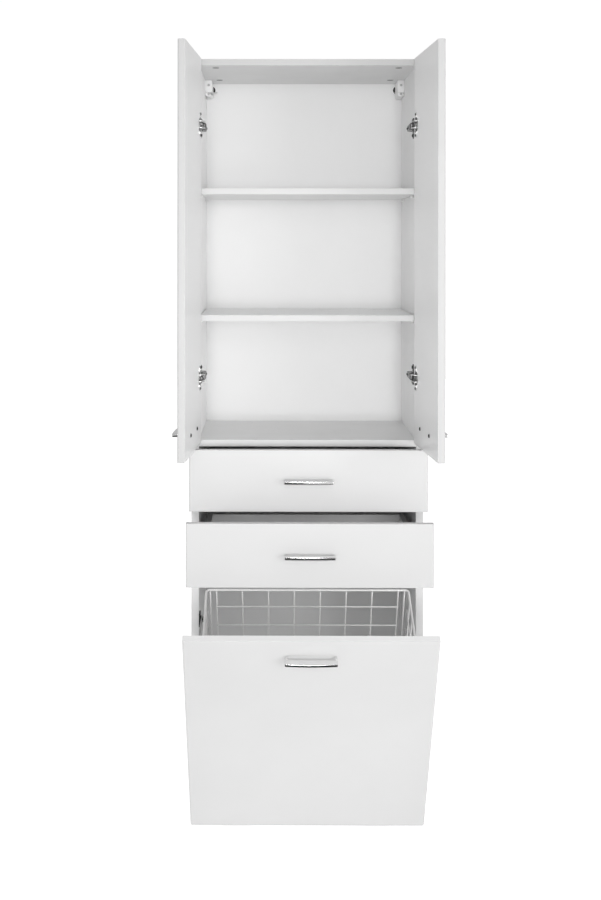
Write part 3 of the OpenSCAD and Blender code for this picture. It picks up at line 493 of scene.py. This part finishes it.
for side, word in ((-1, "left"), (1, "right")):
    spots = [(side * (half_inside - adjusters_in), y, z) for y, z in adjusters]
    screws("hanger_screws_" + word, small_head, spots, toward_front, "cabinet", drawn_to_frame)
    # Each hole holds a black disc: a painted shade for the dark gap behind the back panel.
    hole_shade = turned(hole_shade_profile)
    hole = Matrix.Translation((side * (half_inside - hole_shade_in), hole_shade_y, hole_shade_z))
    hole_shade.transform(hole @ toward_back)
    piece("hole_shade_" + word, hole_shade, black_plastic, "cabinet", drawn_to_frame)

# ---- Floor glides ----------------------------------------------------------------------------
# Dark plastic studs tapped into the feet of the side panels, so that the sawn edges stand
# clear of the floor.
dress(["floor_glides"], black_plastic, 0.4)

# ---- Doors -----------------------------------------------------------------------------------
# Two plain doors of faced board with softened edges, opened just past square. Their inner faces
# are painted lighter than the outer ones, a painted light. The board's own tone is painted darker
# than that of the drawer fronts, a painted shade for the strong light on their front edges.
front_ease = 0.7
for word, way in (("left", 1), ("right", -1)):
    door_foil = finish("door_foil_" + word, film, {
        "Light tone": grey(0.575), "Dark tone": grey(0.563), "Cloud size": 7.0,
        "Pebble size": 1100.0, "Roughness": 0.30, "Wiped": 0.12, "Other tone": grey(0.87),
        "Other way": (way, 0, 0)}, bump=0.18, depth=0.0001, Coat_Weight=0.15, Coat_Roughness=0.2)
    dress(["door_" + word], door_foil, front_ease, 3)
# The axis that a door turns about is given in metres.
door_axis_x = 0.2426
door_axis_y = -0.0151
opening = radians(94)


def door_place(side):
    """The drawn, closed place of a door's fittings turned open with the door."""
    axis = Vector((side * door_axis_x, door_axis_y, 0))
    turn = Matrix.Rotation(side * opening, 4, "Z")
    return drawn_to_frame @ Matrix.Translation(axis) @ turn @ Matrix.Translation(-axis)


# ---- Bow handles -----------------------------------------------------------------------------
# Five like handles in polished chrome: a broad flat bar, bowed along its front edge, on two
# round feet, with a screw through the front into each foot.
chrome = finish("chrome", plating, {
    "Bright tone": grey(0.80), "Dim tone": grey(0.70), "Roughness": 0.07, "Handled": 0.08,
    "Line size": 500.0}, bump=0.05, depth=0.00003, Metallic=1.0)
bow_length = 103.5
bow_height = 7.0
bow_out = 25.0
bow_end_out = 23.0
bow_back_out = 11.0
bow_pitch = 96.0
bow_edge = 1.6
foot_radius = 3.4
foot_sunk = 0.5
bow_rise = bow_out - bow_end_out
bow_radius = ((bow_length / 2) ** 2 + bow_rise ** 2) / (2 * bow_rise)
front_face = -17.0
front_inner_face = -1.95


def bow_mesh(x, z, bow_steps=28, foot_sides=24):
    """A bar and its two feet, centred on x and z, on the outer face of a closed front."""
    centre = bow_radius - bow_out
    half = bow_length / 2
    outline = [(-half, -bow_back_out)]
    for i in range(bow_steps + 1):
        u = -half + 2 * half * i / bow_steps
        outline.append((u, centre - sqrt(bow_radius ** 2 - u * u)))
    outline.append((half, -bow_back_out))
    shape = bmesh.new()
    low = [shape.verts.new((x + u, front_face + v, z - bow_height / 2)) for u, v in outline]
    high = [shape.verts.new((x + u, front_face + v, z + bow_height / 2)) for u, v in outline]
    shape.faces.new(low)
    shape.faces.new(high[::-1])
    for i in range(len(outline)):
        j = (i + 1) % len(outline)
        shape.faces.new([low[j], low[i], high[i], high[j]])
    for side in (-1, 1):
        rings = []
        for v in (0.0, foot_sunk - bow_back_out):
            turns = [2 * k * pi / foot_sides for k in range(foot_sides)]
            rings.append([shape.verts.new((x + side * bow_pitch / 2 + foot_radius * cos(turn),
                                           front_face + v, z + foot_radius * sin(turn)))
                          for turn in turns])
        for k in range(foot_sides):
            j = (k + 1) % foot_sides
            shape.faces.new([rings[0][k], rings[0][j], rings[1][j], rings[1][k]])
        for ring in rings:
            shape.faces.new(ring)
    return smooth_mesh("bow", shape)


def bow(name, node, body, place, x, z):
    made = piece(name, bow_mesh(x, z), chrome, body, place, [node])
    rolled = made.modifiers.new("rolled", "BEVEL")
    rolled.width = bow_edge / 1000
    rolled.segments = 4
    rolled.limit_method = "ANGLE"
    rolled.angle_limit = radians(40)
    even = made.modifiers.new("even", "WEIGHTED_NORMAL")
    even.keep_sharp = False


wide_head = screw_head(4.0, 2.2)


def bow_screws(body, place, x, z, coat=zinc):
    """The heads of a handle's two screws, seen on the inner face of its front."""
    spots = [(x + way * bow_pitch / 2, front_inner_face, z) for way in (-1, 1)]
    return screws("bow_screws_" + body, wide_head, spots, toward_back, body, place, coat)


# A far darker copy of the screw zinc, used for the door handle screws and the hinge screws: a
# painted shade.
painted_shade_screw_metal = finish("painted_shade_screw", plating, {
    "Bright tone": grey(0.09), "Dim tone": grey(0.04), "Roughness": 0.3, "Handled": 0.2,
    "Line size": 900.0}, bump=0.3, depth=0.00005, Metallic=1.0)
door_bow_x = 135.0
door_bow_z = 863.5
for side, word in ((-1, "left"), (1, "right")):
    at = door_place(side)
    body = "door_" + word
    bow("bow_" + body, "door_handle_" + word, body, at, side * door_bow_x, door_bow_z)
    held = bow_screws(body, at, side * door_bow_x, door_bow_z, painted_shade_screw_metal)
    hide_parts("door_screws_" + word)

# ---- Door hinges -----------------------------------------------------------------------------
# Concealed hinges pressed from nickelled steel: a cup let into the door, two link plates, and
# a slim arm clipped over a plate on the side panel.
nickel = finish("nickel", plating, {
    "Bright tone": grey(0.9), "Dim tone": grey(0.7), "Roughness": 0.22, "Handled": 0.22,
    "Line size": 700.0}, bump=0.25, depth=0.00005, Metallic=1.0)
# The arms and links are the same nickelled steel painted far darker than the cups: a painted shade
# where they sit between the door and the side panel.
painted_shade_nickel = finish("painted_shade_nickel", plating, {
    "Bright tone": grey(0.2), "Dim tone": grey(0.08), "Roughness": 0.2, "Handled": 0.25,
    "Line size": 700.0}, bump=0.25, depth=0.00005, Metallic=1.0)
dress(["hinge_arms"], painted_shade_nickel, 0.4)
dress(["hinge_links_left", "hinge_links_right"], painted_shade_nickel)
dress(["hinge_cups_left", "hinge_cups_right"], nickel)
hinge_heights = (965.0, 1505.0)
plate_thick = 2
plate_screw_y = 46
plate_screw_up = 16
arm_screw_in = 13
arm_screw_ys = (32, 54)
half_width = 250
cup_in = 20.5
flange_face = -0.8
flange_screw_up = 22.5
for side, word in ((-1, "left"), (1, "right")):
    inward = Matrix.Rotation(-side * pi / 2, 4, "Y")
    spots = [(side * (half_inside - plate_thick), plate_screw_y, z + up)
             for z in hinge_heights for up in (-plate_screw_up, plate_screw_up)]
    screws("hinge_plate_screws_" + word, wide_head, spots, inward, "cabinet", drawn_to_frame,
           painted_shade_screw_metal)
    spots = [(side * (half_inside - arm_screw_in), y, z)
             for z in hinge_heights for y in arm_screw_ys]
    screws("hinge_arm_screws_" + word, small_head, spots, inward, "cabinet", drawn_to_frame,
           painted_shade_screw_metal)
    spots = [(side * (half_width - cup_in), flange_face, z + up)
             for z in hinge_heights for up in (-flange_screw_up, flange_screw_up)]
    screws("hinge_cup_screws_" + word, small_head, spots, toward_back, "door_" + word,
           door_place(side), painted_shade_screw_metal)

# ---- Drawers ---------------------------------------------------------------------------------
# Two shallow drawers: a faced front, grey melamine sides and back, and a thin hardboard base
# let into grooves all round.
# The drawer boards' tone is raised close to white, a painted light in the shade inside the drawers.
# Their upward faces are much darker, a painted shade.
grey_melamine = finish("grey_melamine", film, {
    "Light tone": grey(0.92), "Dark tone": grey(0.88), "Cloud size": 12.0, "Pebble size": 1400.0,
    "Roughness": 0.4, "Wiped": 0.12, "Other tone": grey(0.42), "Other way": (0, 0, 1)},
    bump=0.25, depth=0.0001)
# The drawer fronts' inner faces take a lighter tone than their outer faces, a painted light.
drawer_foil = finish("drawer_foil", film, {
    "Light tone": grey(0.63), "Dark tone": grey(0.617), "Cloud size": 7.0, "Pebble size": 1100.0,
    "Roughness": 0.30, "Wiped": 0.12, "Other tone": grey(0.87), "Other way": (0, 1, 0)},
    bump=0.18, depth=0.0001, Coat_Weight=0.15, Coat_Roughness=0.2)
pulled = {"upper": 65.0, "lower": 160.0}
front_foot = {"upper": 690.5, "lower": 558.0}
bow_above_foot = 64.5
for word in ("upper", "lower"):
    body = "drawer_" + word
    at = drawn_to_frame @ Matrix.Translation((0, -pulled[word] / 1000, 0))
    dress(["drawer_front_" + word], drawer_foil, front_ease, 3)
    boards = ["drawer_side_left_" + word, "drawer_side_right_" + word, "drawer_back_" + word]
    dress(boards, grey_melamine, sawn_ease)
    dress(["drawer_bottom_" + word], hardboard)
    middle = front_foot[word] + bow_above_foot
    bow("bow_" + body, "drawer_handle_" + word, body, at, 0, middle)
    held = bow_screws(body, at, 0, middle)
    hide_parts("drawer_screws_" + word)

# ---- Runners ---------------------------------------------------------------------------------
# Folded steel rails and slide profiles with a white powder coat, each rail held by three
# flat-headed screws, and nylon rollers on rivets.
powder_coat = finish("powder_coat", film, {
    "Light tone": grey(0.80), "Dark tone": grey(0.77), "Cloud size": 25.0, "Pebble size": 1500.0,
    "Roughness": 0.34, "Wiped": 0.15}, bump=0.35, depth=0.0001)
nylon = finish("nylon", film, {
    "Light tone": grey(0.72, 0.02), "Dark tone": grey(0.66, 0.03), "Cloud size": 90.0,
    "Pebble size": 2400.0, "Roughness": 0.4, "Wiped": 0.15}, bump=0.2, depth=0.00005)
flat_head = screw_head(2.9, 0.5)
rail_thick = 1.2
rail_screw_ys = (40, 150, 255)
rail_above_foot = 21
for word in ("upper", "lower"):
    dress(["runner_rails_" + word, "slide_profiles_" + word], powder_coat)
    dress(["rail_rollers_" + word, "slide_rollers_" + word], nylon, 0.3)
    height = front_foot[word] + rail_above_foot
    for side, hand in ((-1, "left"), (1, "right")):
        inward = Matrix.Rotation(-side * pi / 2, 4, "Y")
        spots = [(side * (half_inside - rail_thick), y, height) for y in rail_screw_ys]
        screws("rail_screws_" + word + "_" + hand, flat_head, spots, inward, "cabinet",
               drawn_to_frame)

# ---- Laundry flap ----------------------------------------------------------------------------
# The tall lower front: faced board hinged along its foot on two butt hinges and held at its
# tilt by a slotted plated strip on the left that runs over a headed black pin.

# The second tone's way lies between the ways of the inner face and the top edge, so both are
# painted lighter, a painted light. The face tone is also set lighter than that of the drawer
# fronts, again a painted light.
flap_foil = finish("flap_foil", film, {
    "Light tone": grey(0.695), "Dark tone": grey(0.68), "Cloud size": 7.0, "Pebble size": 1100.0,
    "Roughness": 0.30, "Wiped": 0.12, "Other tone": grey(0.88), "Other way": (0, 0.286, 0.958)},
    bump=0.18, depth=0.0001, Coat_Weight=0.15, Coat_Roughness=0.2)
dress(["flap_panel"], flap_foil, front_ease, 3)
dress(["flap_hinge_fixed_leaves", "flap_hinge_moving_leaves"], zinc)
dress(["stay_brackets"], black_plastic, 0.3)
dress(["stay_arcs"], zinc, 0.2)
# The flap's axis, in metres, runs along its foot.
tilt = radians(28.4)
pivot = Vector((0, -0.003, 0.0085))
tilted = Matrix.Translation(pivot) @ Matrix.Rotation(tilt, 4, "X") @ Matrix.Translation(-pivot)
flap_place = drawn_to_frame @ tilted
flap_bow_z = 513
bow("bow_flap", "flap_handle", "flap", flap_place, 0, flap_bow_z)
held = bow_screws("flap", flap_place, 0, flap_bow_z)
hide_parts("flap_screws")

# ---- Wire basket -----------------------------------------------------------------------------
# Steel wire, welded where it crosses and dipped in white plastic: a heavy rim, uprights bent
# under to form the base, level wires on the inside, and four clips that hold it to the flap.
dipped = finish("dipped_white", film, {
    "Light tone": grey(0.84, 0.004), "Dark tone": grey(0.80, 0.006), "Cloud size": 40.0,
    "Pebble size": 700.0, "Roughness": 0.24, "Wiped": 0.12}, bump=0.2, depth=0.00008,
    Coat_Weight=0.3, Coat_Roughness=0.12)
wire = 3.0
wire_bend = 8
weld = 0.6
rim_wire = 5.0
basket_width = 438
rim_half = basket_width / 2 - rim_wire / 2
rim_front = 4.0
rim_back = 226.0
rim_height = 452.5
base_height = 69.5
corner = 8.0
span = 390
gaps = 7
across = [(i - gaps / 2) * span / gaps for i in range(gaps + 1)]
at_corners = [corner - rim_half, rim_half - corner]
depths = [49.0, 98.0, 147.0, 196.0]
first_level = 46
level_step = 54
levels = [rim_height - first_level - level_step * i for i in range(6)]


def bent(corners, bend, steps=6):
    """The run of points along a wire through the given corners, each bent to a radius."""
    run = [Vector(corners[0])]
    for before, at, after in zip(corners, corners[1:], corners[2:]):
        at = Vector(at)
        back = (Vector(before) - at).normalized()
        on = (Vector(after) - at).normalized()
        half_angle = back.angle(on) / 2
        middle = at + (back + on).normalized() * (bend / sin(half_angle))
        reach = bend / (sin(half_angle) / cos(half_angle))
        a = at + back * reach - middle
        b = at + on * reach - middle
        for i in range(steps + 1):
            t = i / steps
            run.append(middle + ((1 - t) * a + t * b).normalized() * bend)
    run.append(Vector(corners[-1]))
    return run


def tube(shape, run, thick, closed, sides=12):
    """One round wire along a run of points, with slightly domed ends."""
    count = len(run)
    rings = []
    up = None
    for i, at in enumerate(run):
        ahead = run[(i + 1) % count] if closed or i + 1 < count else at
        behind = run[i - 1] if closed or i else at
        along = (ahead - behind).normalized()
        if up is None:
            up = along.orthogonal()
        up = (up - along * up.dot(along)).normalized()
        over = along.cross(up)
        ring = []
        for k in range(sides):
            turn = 2 * pi * k / sides
            ring.append(shape.verts.new(at + (up * cos(turn) + over * sin(turn)) * thick / 2))
        rings.append(ring)
    ahead_rings = rings[1:] + rings[:1] if closed else rings[1:]
    for low, high in zip(rings, ahead_rings):
        for k in range(sides):
            j = (k + 1) % sides
            shape.faces.new([low[k], low[j], high[j], high[k]])
    if closed:
        return
    for ring, at, inner in ((rings[0], run[0], run[1]), (rings[-1], run[-1], run[-2])):
        tip = shape.verts.new(at + (at - inner).normalized() * thick * 0.2)
        for k in range(sides):
            shape.faces.new([ring[k], ring[(k + 1) % sides], tip])


def wires(name, runs, nodes, thick=wire, closed=False):
    shape = bmesh.new()
    for run in runs:
        tube(shape, run, thick, closed)
    piece(name, smooth_mesh(name, shape), dipped, "flap", flap_place, nodes)


rim = []
corner_steps = 8
for cx, cy, start in ((1, 1, 0), (-1, 1, 90), (-1, -1, 180), (1, -1, 270)):
    x = cx * (rim_half - corner)
    y = (rim_back - corner) if cy > 0 else (rim_front + corner)
    for i in range(corner_steps + 1):
        turn = radians(start + i * 90 / corner_steps)
        rim.append(Vector((x + corner * cos(turn), y + corner * sin(turn), rim_height)))
wires("basket_rim_wire", [rim], ["basket_rim"], thick=rim_wire, closed=True)

top = rim_height - rim_wire / 2 + 0.4
long_base = base_height - wire + 0.2
cross_base = long_base - wire + weld
lap = wire - weld
turned_under = 110
past_weld = 1.5
short_of_rear = 12


def level_wire(half, y, z):
    return [Vector((-half, y, z)), Vector((half, y, z))]


for word, y, inward in (("rear", rim_back, -1), ("front", rim_front, 1)):
    uprights = across + (at_corners if word == "rear" else [])
    runs = []
    for x in uprights:
        foot = [(x, y, top), (x, y, long_base), (x, y + inward * turned_under, long_base)]
        runs.append(bent(foot, wire_bend))
    for z in levels:
        runs.append(level_wire(across[-1] + past_weld, y + inward * lap, z))
    runs.append(level_wire(at_corners[1] + past_weld, y, base_height))
    nodes = ["basket_" + word] + (["basket_base"] if word == "rear" else [])
    wires("basket_%s_wires" % word, runs, nodes)
runs = []
for y in depths:
    hoop = [(-rim_half, y, top), (-rim_half, y, cross_base),
            (rim_half, y, cross_base), (rim_half, y, top)]
    runs.append(bent(hoop, wire_bend))
for side in (-1, 1):
    for z in levels + [base_height]:
        x = side * (rim_half - (lap if z > base_height else 0))
        ends = (depths[0] - past_weld, rim_back - short_of_rear)
        runs.append([Vector((x, y, z)) for y in ends])
wires("basket_hoops", runs, ["basket_sides"])
dress(["basket_clips"], moulded, 0.8, 3)
